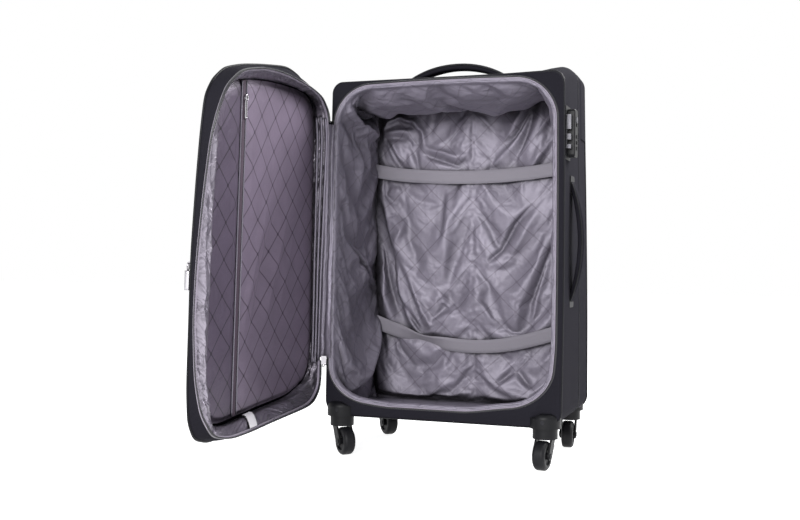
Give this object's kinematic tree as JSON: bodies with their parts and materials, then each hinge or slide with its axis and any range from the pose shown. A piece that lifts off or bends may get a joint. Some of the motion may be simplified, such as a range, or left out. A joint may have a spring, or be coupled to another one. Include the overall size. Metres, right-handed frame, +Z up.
{
  "type": "soft-sided spinner suitcase",
  "caption": "Black soft-sided upright suitcase on swivel casters, zip lid swung open, patterned lining, tie straps, carry handles, side lock and a telescopic trolley.",
  "frame": {"origin": "on the floor, midway between the four casters", "axes": "+X to the right seen from the front, -Y to the front where the case opens, +Z up"},
  "size_m": [0.532, 0.7218, 0.7202],
  "materials": {
    "woven_polyester": "matte woven",
    "piping": "satin",
    "zip_tape": "matte",
    "board": "matte",
    "lining_satin": "satin",
    "strap_elastic": "ribbed",
    "handle_webbing": "matte woven",
    "moulded_black": "satin",
    "satin_metal": "satin",
    "dial_plastic": "satin",
    "tube_aluminium": "satin",
    "button_plastic": "gloss",
    "wheel_rubber": "matte",
    "screw_steel": "satin",
    "zip_metal": "gloss"
  },
  "bodies": {
    "case": {"back_panel": "woven_polyester", "body_lining": "lining_satin", "body_zip": "zip_tape", "corner_guards": "woven_polyester", "edge_piping": "piping", "front_left_wheel_housing": "moulded_black", "front_right_wheel_housing": "moulded_black", "front_rim": "woven_polyester", "gusset_board": "board", "handle_anchors": "moulded_black", "housing_screws": "screw_steel", "lid_hinge": "piping", "lining_back": "lining_satin", "lock_base": "moulded_black", "lock_dial_shaft": "satin_metal", "lock_housing": "moulded_black", "lock_receiver": "satin_metal", "rear_left_wheel_housing": "moulded_black", "rear_right_wheel_housing": "moulded_black", "side_feet": "moulded_black", "side_gusset": "woven_polyester", "side_handle": "handle_webbing", "tie_straps": "strap_elastic", "top_handle": "handle_webbing", "trolley_foot_bracket": "moulded_black", "trolley_outer_tubes": "tube_aluminium", "trolley_top_cup": "moulded_black"},
    "trolley_middle": {"trolley_middle_tubes": "tube_aluminium"},
    "trolley_handle": {"trolley_inner_tubes": "tube_aluminium", "trolley_grip": "moulded_black"},
    "trolley_button": {"trolley_button": "button_plastic"},
    "lock_release": {"lock_release": "satin_metal"},
    "lid": {"lid_panel": "woven_polyester", "lid_gusset": "woven_polyester", "lid_zip": "zip_tape", "lid_lining": "lining_satin", "front_pocket": "woven_polyester"},
    "lock_dial_1": {"lock_dial_1": "dial_plastic"},
    "lock_dial_2": {"lock_dial_2": "dial_plastic"},
    "lock_dial_3": {"lock_dial_3": "dial_plastic"},
    "upper_main_slider": {"upper_main_slider": "zip_metal"},
    "upper_main_pull": {"upper_main_pull": "zip_metal"},
    "lower_main_slider": {"lower_main_slider": "zip_metal"},
    "lower_main_pull": {"lower_main_pull": "zip_metal"},
    "lid_pocket_slider": {"lid_pocket_slider": "zip_metal"},
    "lid_pocket_pull": {"lid_pocket_pull": "zip_metal"},
    "front_pocket_slider": {"front_pocket_slider": "zip_metal"},
    "front_pocket_pull": {"front_pocket_pull": "zip_metal"},
    "front_left_caster": {"front_left_fork": "moulded_black", "front_left_axle": "screw_steel"},
    "front_left_wheel": {"front_left_wheel": "wheel_rubber"},
    "front_right_caster": {"front_right_fork": "moulded_black", "front_right_axle": "screw_steel"},
    "front_right_wheel": {"front_right_wheel": "wheel_rubber"},
    "rear_left_caster": {"rear_left_fork": "moulded_black", "rear_left_axle": "screw_steel"},
    "rear_left_wheel": {"rear_left_wheel": "wheel_rubber"},
    "rear_right_caster": {"rear_right_fork": "moulded_black", "rear_right_axle": "screw_steel"},
    "rear_right_wheel": {"rear_right_wheel": "wheel_rubber"}
  },
  "joints": [
    {"name": "lid_hinge", "type": "hinge", "parent": "case", "child": "lid", "pos_m": [-0.2188, -0.1316, 0.386], "axis": [0, 0.0732, -0.9973], "range_deg": [-85.5, 74.5]},
    {"name": "lock_dial_1_turn", "type": "hinge", "parent": "case", "child": "lock_dial_1", "pos_m": [0.2255, -0.0814, 0.5575], "axis": [0, 0, 1], "continuous": true},
    {"name": "lock_dial_2_turn", "type": "hinge", "parent": "case", "child": "lock_dial_2", "pos_m": [0.2255, -0.0814, 0.5575], "axis": [0, 0, 1], "continuous": true},
    {"name": "lock_dial_3_turn", "type": "hinge", "parent": "case", "child": "lock_dial_3", "pos_m": [0.2255, -0.0814, 0.5575], "axis": [0, 0, 1], "continuous": true},
    {"name": "lock_release_slide", "type": "slide", "parent": "case", "child": "lock_release", "axis": [0, 0, -1], "range_m": [0, 0.006], "stiffness_N_per_m": 200},
    {"name": "trolley_first_stage", "type": "slide", "parent": "case", "child": "trolley_middle", "axis": [0, 0, 1], "range_m": [0, 0.18]},
    {"name": "trolley_second_stage", "type": "slide", "parent": "trolley_middle", "child": "trolley_handle", "axis": [0, 0, 1], "range_m": [0, 0.18]},
    {"name": "trolley_button_press", "type": "slide", "parent": "trolley_handle", "child": "trolley_button", "axis": [0, 0, -1], "range_m": [0, 0.003], "stiffness_N_per_m": 400},
    {"name": "upper_main_zip", "type": "slide", "parent": "case", "child": "upper_main_slider", "axis": [0, 0, 1], "range_m": [0, 0.025]},
    {"name": "upper_main_pull_swing", "type": "hinge", "parent": "upper_main_slider", "child": "upper_main_pull", "pos_m": [-0.2226, -0.13, 0.604], "axis": [0, 1, 0], "range_deg": [0, 150]},
    {"name": "lower_main_zip", "type": "slide", "parent": "case", "child": "lower_main_slider", "axis": [0, 0, -1], "range_m": [0, 0.025]},
    {"name": "lower_main_pull_swing", "type": "hinge", "parent": "lower_main_slider", "child": "lower_main_pull", "pos_m": [-0.2226, -0.121, 0.163], "axis": [0, 1, 0], "range_deg": [0, 18]},
    {"name": "lid_pocket_zip", "type": "slide", "parent": "lid", "child": "lid_pocket_slider", "axis": [-0.073, 0.0673, -0.9951], "range_m": [0, 0.475]},
    {"name": "lid_pocket_pull_swing", "type": "hinge", "parent": "lid_pocket_slider", "child": "lid_pocket_pull", "pos_m": [-0.20268, -0.46533, 0.59238], "axis": [0.0785, -0.9942, -0.073], "range_deg": [0, 150]},
    {"name": "front_pocket_zip", "type": "slide", "parent": "lid", "child": "front_pocket_slider", "axis": [0.073, -0.0673, 0.9951], "range_m": [-0.2, 0.24]},
    {"name": "front_pocket_pull_swing", "type": "hinge", "parent": "front_pocket_slider", "child": "front_pocket_pull", "pos_m": [-0.23903, -0.55814, 0.34758], "axis": [-0.0785, 0.9942, 0.073], "range_deg": [0, 150]},
    {"name": "front_left_swivel", "type": "hinge", "parent": "case", "child": "front_left_caster", "pos_m": [-0.187, -0.115, 0.06], "axis": [0, 0, 1], "continuous": true},
    {"name": "front_left_roll", "type": "hinge", "parent": "front_left_caster", "child": "front_left_wheel", "pos_m": [-0.17614, -0.12534, 0.025], "axis": [-0.6896, -0.7242, 0], "continuous": true},
    {"name": "front_right_swivel", "type": "hinge", "parent": "case", "child": "front_right_caster", "pos_m": [0.187, -0.115, 0.06], "axis": [0, 0, 1], "continuous": true},
    {"name": "front_right_roll", "type": "hinge", "parent": "front_right_caster", "child": "front_right_wheel", "pos_m": [0.18502, -0.12987, 0.025], "axis": [-0.9912, 0.1323, 0], "continuous": true},
    {"name": "rear_left_swivel", "type": "hinge", "parent": "case", "child": "rear_left_caster", "pos_m": [-0.187, 0.115, 0.06], "axis": [0, 0, 1], "continuous": true},
    {"name": "rear_left_roll", "type": "hinge", "parent": "rear_left_caster", "child": "rear_left_wheel", "pos_m": [-0.17639, 0.10439, 0.025], "axis": [-0.7071, -0.7071, 0], "continuous": true},
    {"name": "rear_right_swivel", "type": "hinge", "parent": "case", "child": "rear_right_caster", "pos_m": [0.187, 0.115, 0.06], "axis": [0, 0, 1], "continuous": true},
    {"name": "rear_right_roll", "type": "hinge", "parent": "rear_right_caster", "child": "rear_right_wheel", "pos_m": [0.18815, 0.10004, 0.025], "axis": [-0.9971, -0.0767, 0], "continuous": true}
  ]
}
